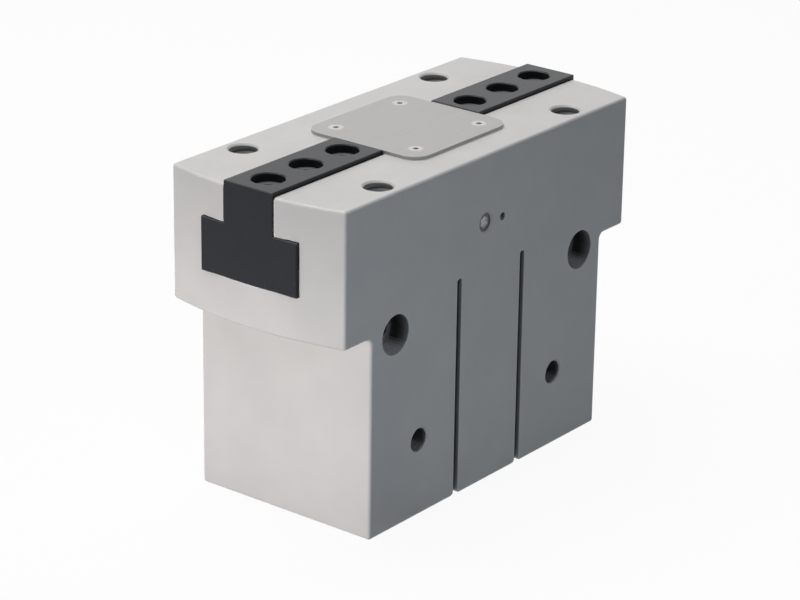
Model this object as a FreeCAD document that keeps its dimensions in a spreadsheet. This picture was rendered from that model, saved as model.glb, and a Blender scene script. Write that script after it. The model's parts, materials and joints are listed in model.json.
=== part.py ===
import FreeCAD, Part
import math
import os

import Sketcher

# Parallel gripper with an oval piston and a wedge hook that drives both jaws.
# Millimetres. Origin under the middle of the body, X along the jaws, front face towards -Y, jaws on top.
# The document shows the closed position, with the piston down.

doc = FreeCAD.newDocument("parallel_gripper")
sheet = doc.addObject("Spreadsheet::Sheet", "sizes")

# Driving dimensions
SIZES = {
    # Every cut and thread
    "cut_margin": 1.0,
    "thread_runout": 2.0,
    # Body
    "head_length": 176.0,
    "head_crown": 5.2,
    "head_height": 50.4,
    "trunk_length": 137.0,
    "body_width": 78.0,
    "edge_round": 1.2,
    "root_round": 2.5,
    # Jaw guide
    "lip_thickness": 14.0,
    "guide_height": 20.0,
    "guide_width": 43.0,
    "stem_width": 22.0,
    "slide_gap": 0.08,
    "stem_gap": 0.35,
    # Jaws
    "jaw_stroke": 16.0,
    "jaw_rise": 1.6,
    "jaw_stop_gap": 0.5,
    "jaw_chamfer": 0.3,
    "leg_length": 18.0,
    "finger_pitch": 20.0,
    "finger_edge": 10.9,
    "finger_seat_diameter": 12.0,
    "finger_seat_depth": 3.2,
    "finger_seat_chamfer": 0.4,
    "finger_thread_core": 6.8,
    "finger_thread_depth": 22.0,
    # Cover plate
    "plate_length": 55.0,
    "plate_width": 52.0,
    "plate_thickness": 1.3,
    "plate_corner": 7.0,
    "plate_screw_spacing_along": 37.0,
    "plate_screw_spacing_across": 36.4,
    "plate_screw_diameter": 3.0,
    "plate_screw_head": 5.6,
    "plate_screw_length": 9.0,
    "plate_screw_hex": 2.0,
    "plate_opening_length": 49.0,
    # Wedge hook
    "wedge_height": 29.0,
    "wedge_top_width": 28.0,
    "wedge_thickness": 29.0,
    "wedge_head_gap": 4.0,
    "wedge_foot_gap": 1.0,
    "hook_overlap": 12.0,
    "hook_neck_width": 10.0,
    "hook_neck_depth": 4.2,
    "hook_head_width": 18.0,
    "hook_head_depth": 5.0,
    "hook_gap": 0.15,
    "well_gap": 0.8,
    # Piston and its bore
    "piston_stroke": 24.0,
    "piston_thickness": 18.0,
    "piston_chamfer": 2.0,
    "piston_gap": 0.25,
    "piston_end_gap": 1.0,
    "bore_straight": 28.0,
    "bore_wall": 10.0,
    "lip_seal_height": 3.2,
    "lip_seal_depth": 3.4,
    "lip_seal_edge": 2.4,
    "lip_seal_notch": 1.0,
    "guide_band_height": 3.6,
    "guide_band_depth": 1.6,
    "seal_gap": 0.1,
    "magnet_diameter": 6.0,
    "magnet_length": 8.0,
    "magnet_spacing": 37.4,
    "magnet_wall": 5.0,
    # Rod and its guide
    "rod_diameter": 22.0,
    "rod_spigot_diameter": 14.0,
    "rod_running_gap": 0.04,
    "rod_screw_diameter": 8.0,
    "rod_screw_head": 13.0,
    "rod_screw_head_height": 6.0,
    "rod_screw_length": 22.0,
    "rod_screw_hex": 6.0,
    "rod_screw_socket": 3.6,
    "washer_diameter": 24.0,
    "washer_thickness": 2.5,
    "spigot_seal_width": 2.2,
    "spigot_seal_height": 1.7,
    "disc_thickness": 12.0,
    "disc_gap": 0.1,
    "bush_wall": 2.0,
    "bush_length": 6.0,
    "rod_seal_width": 4.5,
    "rod_seal_height": 4.0,
    "circlip_thickness": 1.2,
    "circlip_groove": 1.0,
    "circlip_width": 2.6,
    "circlip_opening": 9.0,
    "disc_screw_diameter": 3.0,
    "disc_screw_head": 5.6,
    "disc_screw_length": 16.0,
    "disc_screw_hex": 2.0,
    # Base cover
    "cover_recess": 2.0,
    "cover_thickness": 9.0,
    "ring_thickness": 2.0,
    "ring_groove": 2.0,
    "ring_groove_gap": 0.1,
    "ring_width": 4.2,
    "ring_opening": 12.0,
    "ring_eye": 7.5,
    "ring_eye_hole": 2.6,
    "ring_seal_height": 3.0,
    "ring_seal_depth": 2.2,
    "puller_thread_core": 4.2,
    "puller_thread_depth": 5.0,
    "puller_spacing": 40.0,
    # Fastening holes
    "top_hole_along": 110.0,
    "top_hole_across": 61.0,
    "top_thread_core": 10.4,
    "top_thread_rim": 11.8,
    "top_thread_depth": 24.0,
    "base_hole_along": 110.0,
    "base_hole_across": 56.0,
    "base_seat_diameter": 15.0,
    "base_seat_depth": 3.0,
    "base_thread_core": 10.2,
    "base_thread_depth": 24.0,
    "side_hole_along": 110.0,
    "side_hole_level": 74.2,
    "side_seat_diameter": 15.0,
    "side_seat_depth": 8.0,
    "side_bore": 10.2,
    # Air connections
    "port_along": 81.2,
    "port_level": 29.3,
    "port_core": 8.8,
    "port_rim": 9.9,
    "port_depth": 12.0,
    "channel_diameter": 4.2,
    "channel_wall": 2.5,
    "channel_plug_length": 6.0,
    "channel_plug_hex": 2.0,
    "channel_plug_socket": 3.0,
    "channel_plug_depth": 1.0,
    "sealing_port_offset": 3.6,
    "sealing_port_level": 101.2,
    "sealing_port_core": 6.8,
    "sealing_port_rim": 8.4,
    "sealing_port_depth": 8.0,
    "sealing_channel_diameter": 2.5,
    "sealing_plug_length": 6.0,
    "sealing_plug_depth": 1.0,
    "sealing_plug_hex": 4.0,
    "sealing_plug_socket": 3.0,
    "vent_offset": 6.0,
    "vent_level": 101.0,
    "vent_diameter": 3.0,
    "vent_depth": 6.0,
    # Sensor slots
    "sensor_spacing": 37.4,
    "sensor_slot_width": 2.8,
    "sensor_slot_height": 84.4,
    "sensor_lead_in": 1.4,
    "sensor_groove_diameter": 4.6,
    "sensor_groove_depth": 3.2,
}

for row, (alias, number) in enumerate(SIZES.items(), start=1):
    sheet.set(f"A{row}", alias)
    sheet.set(f"B{row}", str(number))
    sheet.setAlias(f"B{row}", alias)
doc.recompute()


class Size:
    """A length with the sheet formula that gives it, so that it can both place and bind a drawing."""

    def __init__(self, number, formula):
        self.number = float(number)
        self.formula = formula

    def joined(self, other, sign, number, swapped=False):
        first, second = (other, self) if swapped else (self, other)
        return Size(number, f"({first.formula} {sign} {second.formula})")

    def __add__(self, other):
        other = as_size(other)
        return self.joined(other, "+", self.number + other.number)

    def __sub__(self, other):
        other = as_size(other)
        return self.joined(other, "-", self.number - other.number)

    def __rsub__(self, other):
        other = as_size(other)
        return self.joined(other, "-", other.number - self.number, swapped=True)

    def __mul__(self, other):
        other = as_size(other)
        return self.joined(other, "*", self.number * other.number)

    def __truediv__(self, other):
        other = as_size(other)
        return self.joined(other, "/", self.number / other.number)

    def __neg__(self):
        return self * -1

    __radd__ = __add__
    __rmul__ = __mul__


def as_size(value):
    return value if isinstance(value, Size) else Size(value, repr(float(value)))


def dim(alias):
    return Size(SIZES[alias], f"sizes.{alias}")


def root(size):
    return Size(math.sqrt(size.number), f"sqrt({size.formula})")


ZERO = as_size(0)
DRILL_POINT_ANGLE = 118
COUNTERSINK_ANGLE = 90
SAME_PLACE = 0.01

# Levels, from the foot of the body upwards
ring_low = dim("cover_recess")
cover_low = ring_low + dim("ring_thickness")
chamber_low = cover_low + dim("cover_thickness")
piston_low = chamber_low + dim("piston_end_gap")
piston_high = piston_low + dim("piston_thickness")
chamber_high = piston_high + dim("piston_stroke") + dim("piston_end_gap")
disc_high = chamber_high + dim("disc_thickness")
wedge_low = disc_high + dim("wedge_foot_gap")
wedge_high = wedge_low + dim("wedge_height")
body_top = wedge_high + dim("piston_stroke") + dim("wedge_head_gap")
trunk_top = body_top - dim("head_height")
guide_shoulder = body_top - dim("lip_thickness")
guide_floor = guide_shoulder - dim("guide_height")
hook_low = wedge_high - dim("hook_overlap")
hook_high = wedge_low + dim("piston_stroke") + dim("hook_overlap")

# Widths and half lengths that several pieces share
half_width = dim("body_width") / 2
half_head = dim("head_length") / 2
bore_radius = half_width - dim("bore_wall")
wedge_slope = dim("jaw_stroke") / dim("piston_stroke")
wedge_half_top = dim("wedge_top_width") / 2
wedge_half_foot = wedge_half_top + wedge_slope * dim("wedge_height")
well_half_length = wedge_half_foot + dim("well_gap")
well_width = dim("wedge_thickness") + 2 * dim("well_gap")
jaw_inner = dim("plate_length") / 2 + dim("jaw_stop_gap")


def hook_face(level):
    """Half width of the wedge's sloping side at a level, with the piston down."""
    return wedge_half_foot - wedge_slope * (level - wedge_low)


leg_outer = hook_face(hook_low) + dim("leg_length")
magnet_setback = bore_radius - dim("piston_gap") - dim("magnet_wall") - dim("magnet_diameter") / 2
disc_screw_setback = (well_width / 2 + bore_radius - dim("ring_seal_depth")) / 2
channel_reach = bore_radius + dim("channel_wall") + dim("channel_diameter") / 2
channel_offset = (dim("port_along") - dim("bore_straight")) / 2
channel_setback = root(channel_reach * channel_reach - channel_offset * channel_offset)


# Drawing helpers
def bind(thing, path, size):
    thing.setExpression(path, as_size(size).formula)


def new_body(label):
    body = doc.addObject("PartDesign::Body", label)
    body.Label = label
    return body


def origin_plane(body, role):
    return next(item for item in body.Origin.OriginFeatures if item.Role == role)


def new_sketch(body, name, role, level=ZERO, across=ZERO, up=ZERO):
    """A sketch on an origin plane of the body, moved along the plane's normal and within the plane."""
    sketch = body.newObject("Sketcher::SketchObject", f"{body.Name}_{name}_sketch")
    sketch.AttachmentSupport = [(origin_plane(body, role), "")]
    sketch.MapMode = "FlatFace"
    for axis, size in (("x", across), ("y", up), ("z", level)):
        bind(sketch, f"AttachmentOffset.Base.{axis}", size)
    return sketch


def vector(x, y):
    return FreeCAD.Vector(as_size(x).number, as_size(y).number, 0)


def fix_point(sketch, geometry, point, x, y):
    """Tie one point of a sketch to its coordinates, or to an axis where a coordinate is zero."""
    for kind, axis, size in (("DistanceX", -2, as_size(x)), ("DistanceY", -1, as_size(y))):
        if size.number == 0:
            sketch.addConstraint(Sketcher.Constraint("PointOnObject", geometry, point, axis))
        else:
            index = sketch.addConstraint(Sketcher.Constraint(kind, -1, 1, geometry, point, size.number))
            bind(sketch, f"Constraints[{index}]", size)


def fix_radius(sketch, geometry, radius):
    index = sketch.addConstraint(Sketcher.Constraint("Radius", geometry, as_size(radius).number))
    bind(sketch, f"Constraints[{index}]", radius)


def draw_line(sketch, start, end):
    return sketch.addGeometry(Part.LineSegment(start, end), False)


def draw_loop(sketch, corners):
    """Closed outline of straight lines through the given corners."""
    first = sketch.GeometryCount
    count = len(corners)
    for index in range(count):
        draw_line(sketch, vector(*corners[index]), vector(*corners[(index + 1) % count]))
    for index in range(count):
        following = first + (index + 1) % count
        sketch.addConstraint(Sketcher.Constraint("Coincident", first + index, 2, following, 1))
        fix_point(sketch, first + index, 1, *corners[index])


def draw_rectangle(sketch, x_low, x_high, y_low, y_high):
    draw_loop(sketch, [(x_low, y_low), (x_high, y_low), (x_high, y_high), (x_low, y_high)])


def draw_circle(sketch, x, y, diameter):
    radius = as_size(diameter) / 2
    circle = sketch.addGeometry(Part.Circle(vector(x, y), FreeCAD.Vector(0, 0, 1), radius.number), False)
    fix_radius(sketch, circle, radius)
    fix_point(sketch, circle, 3, x, y)


def draw_arc(sketch, centre, radius, start, end):
    circle = Part.Circle(centre, FreeCAD.Vector(0, 0, 1), radius.number)
    return sketch.addGeometry(Part.ArcOfCircle(circle, start, end), False)


def draw_oval(sketch, straight, radius):
    """Oval along the sketch's first axis: two half circles joined by straight sides."""
    half = straight / 2
    right = draw_arc(sketch, vector(half, 0), radius, -math.pi / 2, math.pi / 2)
    left = draw_arc(sketch, vector(-half, 0), radius, math.pi / 2, 3 * math.pi / 2)
    top = draw_line(sketch, vector(half, radius), vector(-half, radius))
    foot = draw_line(sketch, vector(-half, -radius), vector(half, -radius))
    for first, second in ((right, top), (top, left), (left, foot), (foot, right)):
        sketch.addConstraint(Sketcher.Constraint("Tangent", first, 2, second, 1))
    fix_radius(sketch, right, radius)
    sketch.addConstraint(Sketcher.Constraint("Equal", right, left))
    fix_point(sketch, right, 3, half, ZERO)
    fix_point(sketch, left, 3, -half, ZERO)


def draw_hexagon(sketch, x, y, across_flats):
    reach = across_flats / math.sqrt(3)
    corners = []
    for step in range(6):
        angle = math.radians(60 * step + 30)
        corners.append((x + reach * math.cos(angle), y + reach * math.sin(angle)))
    draw_loop(sketch, corners)


def extrude(body, kind, name, sketch, length, symmetric=False, reverse=False):
    feature = body.newObject(f"PartDesign::{kind}", f"{body.Name}_{name}")
    feature.Profile = (sketch, [""])
    feature.SideType = "Symmetric" if symmetric else "One side"
    feature.Reversed = reverse
    bind(feature, "Length", length)
    body.Tip = feature
    return feature


def pad(body, name, sketch, length, symmetric=False, reverse=False):
    return extrude(body, "Pad", name, sketch, length, symmetric, reverse)


def pocket(body, name, sketch, length, symmetric=False, reverse=False):
    return extrude(body, "Pocket", name, sketch, length, symmetric, reverse)


def revolve(body, name, sketch, axis="V_Axis"):
    feature = body.newObject("PartDesign::Revolution", f"{body.Name}_{name}")
    feature.Profile = (sketch, [""])
    feature.ReferenceAxis = (sketch, [axis])
    feature.Angle = 360
    body.Tip = feature
    return feature


def drill(body, name, sketch, diameter, depth, rim=None, seat=None, reverse=False):
    """Blind drilled holes at the sketch's circles, with a chamfered rim or a flat seat."""
    doc.recompute()
    hole = body.newObject("PartDesign::Hole", f"{body.Name}_{name}")
    hole.Profile = (sketch, [""])
    hole.ThreadType = "None"
    hole.DepthType = "Dimension"
    hole.DrillPoint = "Angled"
    hole.DrillPointAngle = DRILL_POINT_ANGLE
    hole.Reversed = reverse
    bind(hole, "Diameter", diameter)
    bind(hole, "Depth", depth)
    if rim is not None:
        hole.HoleCutType = "Countersink"
        hole.HoleCutCustomValues = True
        hole.HoleCutCountersinkAngle = COUNTERSINK_ANGLE
        bind(hole, "HoleCutDiameter", rim)
    if seat is not None:
        hole.HoleCutType = "Counterbore"
        hole.HoleCutCustomValues = True
        bind(hole, "HoleCutDiameter", seat[0])
        bind(hole, "HoleCutDepth", seat[1])
    body.Tip = hole
    return hole


def dress(body, kind, name, size, wanted):
    """Round or bevel every edge of the body that the test picks."""
    doc.recompute()
    base = body.Tip
    names = [f"Edge{number}" for number, edge in enumerate(base.Shape.Edges, start=1) if wanted(edge)]
    feature = body.newObject(f"PartDesign::{kind}", f"{body.Name}_{name}")
    feature.Base = (base, names)
    bind(feature, "Radius" if kind == "Fillet" else "Size", size)
    body.Tip = feature
    return feature


def middle(edge):
    return edge.valueAt((edge.FirstParameter + edge.LastParameter) / 2)


def close(first, second):
    return abs(first - as_size(second).number) < SAME_PLACE


def is_upright(edge):
    ends = edge.Vertexes
    return len(ends) == 2 and close(ends[0].X, ends[1].X) and close(ends[0].Y, ends[1].Y)


def corner_places(along, across):
    """Centres of four holes, set out on a rectangle."""
    return [(along / 2 * x, across / 2 * y) for x in (-1, 1) for y in (-1, 1)]


def pair_places(along, level):
    return [(along / 2 * side, level) for side in (-1, 1)]


def circles(body, name, role, level, places, diameter):
    sketch = new_sketch(body, name, role, level)
    for x, y in places:
        draw_circle(sketch, x, y, diameter)
    return sketch


def oval_ring(body, kind, name, level, height, inner, outer, reverse=False):
    """A ring between two ovals with the bore's straight sides, added or cut away upwards from a level."""
    sketch = new_sketch(body, name, "XY_Plane", level)
    draw_oval(sketch, dim("bore_straight"), outer)
    draw_oval(sketch, dim("bore_straight"), inner)
    return extrude(body, kind, name, sketch, height, reverse=reverse)


def mirrored_group(label, body, normals):
    """The body and its mirror images in planes through the origin, as one group of loose pieces."""
    group = body
    for step, normal in enumerate(normals, start=1):
        copy = doc.addObject("Part::Mirroring", f"{label}_copy_{step}")
        copy.Source = group
        copy.Normal = normal
        joined = doc.addObject("Part::Compound", f"{label}_group_{step}")
        joined.Links = [group, copy]
        group = joined
    group.Label = label
    return group


# Housing
def make_housing():
    body = new_body("housing")
    add_block(body)
    cut_jaw_guide(body)
    cut_drive_space(body)
    cut_sensor_slots(body)
    cut_air_ways(body)
    cut_fastening_holes(body)
    return body


def add_block(body):
    """Long head with bowed ends on a shorter trunk, with rounded edges and inner corners."""
    crown = dim("head_crown")
    end_radius = (half_width * half_width + crown * crown) / (2 * crown)
    half_chord = half_head - crown
    centre = half_head - end_radius
    swing = math.asin(half_width.number / end_radius.number)
    plan = new_sketch(body, "head", "XY_Plane", trunk_top)
    front = draw_line(plan, vector(-half_chord, -half_width), vector(half_chord, -half_width))
    right = draw_arc(plan, vector(centre, 0), end_radius, -swing, swing)
    back = draw_line(plan, vector(half_chord, half_width), vector(-half_chord, half_width))
    left = draw_arc(plan, vector(-centre, 0), end_radius, math.pi - swing, math.pi + swing)
    for first, second in ((front, right), (right, back), (back, left), (left, front)):
        plan.addConstraint(Sketcher.Constraint("Coincident", first, 2, second, 1))
    fix_point(plan, front, 1, -half_chord, -half_width)
    fix_point(plan, front, 2, half_chord, -half_width)
    fix_point(plan, back, 1, half_chord, half_width)
    fix_point(plan, back, 2, -half_chord, half_width)
    fix_radius(plan, right, end_radius)
    fix_radius(plan, left, end_radius)
    pad(body, "head", plan, dim("head_height"))

    half_trunk = dim("trunk_length") / 2
    foot = new_sketch(body, "trunk", "XY_Plane")
    draw_rectangle(foot, -half_trunk, half_trunk, -half_width, half_width)
    pad(body, "trunk", foot, trunk_top)

    def under_head(edge):
        place = middle(edge)
        return close(place.z, trunk_top) and close(abs(place.x), half_trunk)

    def outer(edge):
        place = middle(edge)
        on_front_or_back = close(abs(place.y), half_width)
        below_head = abs(place.z - trunk_top.number) < dim("root_round").number + SAME_PLACE
        beside_trunk = abs(place.x) < (half_trunk + dim("root_round")).number + SAME_PLACE
        return on_front_or_back or not (below_head and beside_trunk)

    dress(body, "Fillet", "root", dim("root_round"), under_head)
    dress(body, "Fillet", "rounding", dim("edge_round"), outer)


def cut_jaw_guide(body):
    """T-slot along the whole head, and the opening under the cover plate."""
    half_stem = dim("stem_width") / 2 + dim("stem_gap")
    half_guide = dim("guide_width") / 2 + dim("slide_gap")
    floor = guide_floor - dim("slide_gap")
    shoulder = guide_shoulder + dim("slide_gap")
    above = body_top + dim("jaw_rise")
    profile = new_sketch(body, "guide", "YZ_Plane")
    draw_loop(profile, [
        (-half_guide, floor),
        (half_guide, floor),
        (half_guide, shoulder),
        (half_stem, shoulder),
        (half_stem, above),
        (-half_stem, above),
        (-half_stem, shoulder),
        (-half_guide, shoulder),
    ])
    pocket(body, "guide", profile, dim("head_length") + 2 * dim("cut_margin"), symmetric=True)

    half_length = dim("plate_opening_length") / 2
    opening = new_sketch(body, "opening", "XY_Plane", body_top)
    draw_rectangle(opening, -half_length, half_length, -well_width / 2, well_width / 2)
    pocket(body, "opening", opening, dim("lip_thickness"))
    core = dim("plate_screw_diameter")
    depth = dim("plate_screw_length") - dim("plate_thickness") + dim("thread_runout")
    threads = circles(body, "plate_threads", "XY_Plane", body_top, plate_screw_places(), core)
    drill(body, "plate_threads", threads, core, depth)


def plate_screw_places():
    return corner_places(dim("plate_screw_spacing_along"), dim("plate_screw_spacing_across"))


def cut_drive_space(body):
    """Oval bore from below, the well of the wedge above it and the room of the jaw legs."""
    bore = new_sketch(body, "bore", "XY_Plane")
    draw_oval(bore, dim("bore_straight"), bore_radius)
    pocket(body, "bore", bore, disc_high, reverse=True)
    gap = dim("ring_groove_gap")
    groove_height = dim("ring_thickness") + 2 * gap
    oval_ring(body, "Pocket", "ring_groove", ring_low - gap, groove_height,
              bore_radius - dim("cut_margin"), bore_radius + dim("ring_groove"), reverse=True)

    well = new_sketch(body, "well", "XY_Plane", guide_floor)
    draw_rectangle(well, -well_half_length, well_half_length, -well_width / 2, well_width / 2)
    pocket(body, "well", well, guide_floor - disc_high)
    leg_reach = leg_outer + dim("jaw_stroke") + dim("well_gap")
    legs = new_sketch(body, "leg_room", "XY_Plane", guide_floor)
    draw_rectangle(legs, -leg_reach, leg_reach, -well_width / 2, well_width / 2)
    pocket(body, "leg_room", legs, guide_floor - hook_low + dim("well_gap"))

    core = dim("disc_screw_diameter")
    depth = dim("disc_screw_length") - dim("disc_thickness") + dim("thread_runout")
    threads = circles(body, "disc_threads", "XY_Plane", disc_high, disc_screw_places(), core)
    drill(body, "disc_threads", threads, core, depth, reverse=True)


def disc_screw_places():
    return [(ZERO, disc_screw_setback * side) for side in (-1, 1)]


def cut_sensor_slots(body):
    """Two grooves with a narrow mouth, open at the foot of the front face and wider there."""
    half_mouth = dim("sensor_slot_width") / 2
    lead = dim("sensor_lead_in")
    end_level = dim("sensor_slot_height") - half_mouth
    mouth = new_sketch(body, "sensor_mouth", "XZ_Plane", half_width)
    for x, _ in pair_places(dim("sensor_spacing"), ZERO):
        draw_loop(mouth, [
            (x - half_mouth - lead, ZERO),
            (x + half_mouth + lead, ZERO),
            (x + half_mouth, lead),
            (x + half_mouth, end_level),
            (x - half_mouth, end_level),
            (x - half_mouth, lead),
        ])
    pocket(body, "sensor_mouth", mouth, dim("sensor_groove_depth"))
    ends = circles(body, "sensor_ends", "XZ_Plane", half_width,
                   pair_places(dim("sensor_spacing"), end_level), dim("sensor_slot_width"))
    pocket(body, "sensor_ends", ends, dim("sensor_groove_depth"))
    setback = half_width - dim("sensor_groove_depth")
    grooves = circles(body, "sensor_grooves", "XY_Plane", ZERO,
                      pair_places(dim("sensor_spacing"), -setback), dim("sensor_groove_diameter"))
    pocket(body, "sensor_grooves", grooves, end_level, reverse=True)


def cut_air_ways(body):
    """Ports in the front face, their channels to both ends of the bore, and the sealing-air way."""
    ports = circles(body, "ports", "XZ_Plane", half_width,
                    pair_places(dim("port_along"), dim("port_level")), dim("port_core"))
    drill(body, "ports", ports, dim("port_core"), dim("port_depth"), rim=dim("port_rim"))
    links = circles(body, "port_links", "XZ_Plane", half_width,
                    pair_places(dim("port_along"), dim("port_level")), dim("channel_diameter"))
    pocket(body, "port_links", links, half_width - channel_setback + dim("channel_diameter") / 2)

    mouth = dim("channel_diameter") / 2
    lower_end = chamber_low + mouth
    upper_end = chamber_high - mouth
    for side, name, top, level in (
        (1, "lower", dim("port_level"), lower_end),
        (-1, "upper", upper_end, upper_end),
    ):
        x = dim("port_along") / 2 * side
        rise = circles(body, f"{name}_channel", "XY_Plane", ZERO, [(x, -channel_setback)],
                       dim("channel_diameter"))
        pocket(body, f"{name}_channel", rise, top, reverse=True)
        cross = circles(body, f"{name}_crossway", "YZ_Plane", x, [(-channel_setback, level)],
                        dim("channel_diameter"))
        reach = dim("port_along") / 2 - dim("bore_straight") / 2
        pocket(body, f"{name}_crossway", cross, reach, reverse=side < 0)

    sealing = circles(body, "sealing_port", "XZ_Plane", half_width,
                      [(-dim("sealing_port_offset"), dim("sealing_port_level"))], dim("sealing_port_core"))
    drill(body, "sealing_port", sealing, dim("sealing_port_core"), dim("sealing_port_depth"),
          rim=dim("sealing_port_rim"))
    way = circles(body, "sealing_way", "XZ_Plane", half_width,
                  [(-dim("sealing_port_offset"), dim("sealing_port_level"))], dim("sealing_channel_diameter"))
    pocket(body, "sealing_way", way, half_width - dim("guide_width") / 2)
    vent = circles(body, "vent", "XZ_Plane", half_width, [(dim("vent_offset"), dim("vent_level"))],
                   dim("vent_diameter"))
    drill(body, "vent", vent, dim("vent_diameter"), dim("vent_depth"))


def cut_fastening_holes(body):
    """Threads in the top and the foot, and bores from front to back with a seat at each end."""
    top = circles(body, "top_threads", "XY_Plane", body_top,
                  corner_places(dim("top_hole_along"), dim("top_hole_across")), dim("top_thread_core"))
    drill(body, "top_threads", top, dim("top_thread_core"), dim("top_thread_depth"),
          rim=dim("top_thread_rim"))
    foot = circles(body, "base_threads", "XY_Plane", ZERO,
                   corner_places(dim("base_hole_along"), dim("base_hole_across")), dim("base_thread_core"))
    drill(body, "base_threads", foot, dim("base_thread_core"), dim("base_thread_depth"),
          seat=(dim("base_seat_diameter"), dim("base_seat_depth")), reverse=True)
    side_places = pair_places(dim("side_hole_along"), dim("side_hole_level"))
    through = circles(body, "side_bores", "XZ_Plane", ZERO, side_places, dim("side_bore"))
    pocket(body, "side_bores", through, dim("body_width"), symmetric=True)
    for name, level, reverse in (("front", half_width, False), ("back", -half_width, True)):
        seats = circles(body, f"{name}_seats", "XZ_Plane", level, side_places, dim("side_seat_diameter"))
        pocket(body, f"{name}_seats", seats, dim("side_seat_depth"), reverse=reverse)


# Cover plate and its screws
def make_cover_plate():
    body = new_body("cover_plate")
    half_length = dim("plate_length") / 2
    half_plate = dim("plate_width") / 2
    outline = new_sketch(body, "outline", "XY_Plane", body_top)
    draw_rectangle(outline, -half_length, half_length, -half_plate, half_plate)
    pad(body, "sheet", outline, dim("plate_thickness"))
    dress(body, "Fillet", "corners", dim("plate_corner"), is_upright)
    top = body_top + dim("plate_thickness")
    holes = circles(body, "holes", "XY_Plane", top, plate_screw_places(), dim("plate_screw_diameter"))
    drill(body, "holes", holes, dim("plate_screw_diameter"), dim("plate_thickness") + dim("cut_margin"),
          rim=dim("plate_screw_head"))
    return body


def make_countersunk_screw(label, place, top, diameter, head, length, hexagon, upright=True):
    """Countersunk socket screw on an upright axis, its flat head at the given level."""
    body = new_body(label)
    sense = 1 if upright else -1
    cone = (head - diameter) / 2
    profile = new_sketch(body, "profile", "XZ_Plane", -place[1], across=place[0])
    draw_loop(profile, [
        (ZERO, top),
        (head / 2, top),
        (diameter / 2, top - cone * sense),
        (diameter / 2, top - length * sense),
        (ZERO, top - length * sense),
    ])
    revolve(body, "turning", profile)
    socket = new_sketch(body, "socket", "XY_Plane", top)
    draw_hexagon(socket, place[0], place[1], hexagon)
    pocket(body, "socket", socket, cone, reverse=not upright)
    return body


def make_cover_plate_screws():
    place = plate_screw_places()[-1]
    screw = make_countersunk_screw(
        "cover_plate_screw", place, body_top + dim("plate_thickness"), dim("plate_screw_diameter"),
        dim("plate_screw_head"), dim("plate_screw_length"), dim("plate_screw_hex"))
    return mirrored_group("cover_plate_screws", screw, [FreeCAD.Vector(1, 0, 0), FreeCAD.Vector(0, 1, 0)])


# Plug screws
def make_sealing_air_plug():
    body = new_body("sealing_air_plug")
    face = -half_width + dim("sealing_plug_depth")
    radius = dim("sealing_port_core") / 2
    profile = new_sketch(body, "profile", "YZ_Plane", -dim("sealing_port_offset"),
                         up=dim("sealing_port_level"))
    draw_rectangle(profile, face, face + dim("sealing_plug_length"), ZERO, radius)
    revolve(body, "turning", profile, axis="H_Axis")
    socket = new_sketch(body, "socket", "XZ_Plane", -face)
    draw_hexagon(socket, -dim("sealing_port_offset"), dim("sealing_port_level"), dim("sealing_plug_hex"))
    pocket(body, "socket", socket, dim("sealing_plug_socket"))
    return body


def make_base_port_plugs():
    place = (dim("port_along") / 2, -channel_setback)
    body = new_body("base_port_plug")
    low = dim("channel_plug_depth")
    profile = new_sketch(body, "profile", "XZ_Plane", -place[1], across=place[0])
    draw_rectangle(profile, ZERO, dim("channel_diameter") / 2, low, low + dim("channel_plug_length"))
    revolve(body, "turning", profile)
    socket = new_sketch(body, "socket", "XY_Plane", low)
    draw_hexagon(socket, place[0], place[1], dim("channel_plug_hex"))
    pocket(body, "socket", socket, dim("channel_plug_socket"), reverse=True)
    return mirrored_group("base_port_plugs", body, [FreeCAD.Vector(1, 0, 0)])


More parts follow.
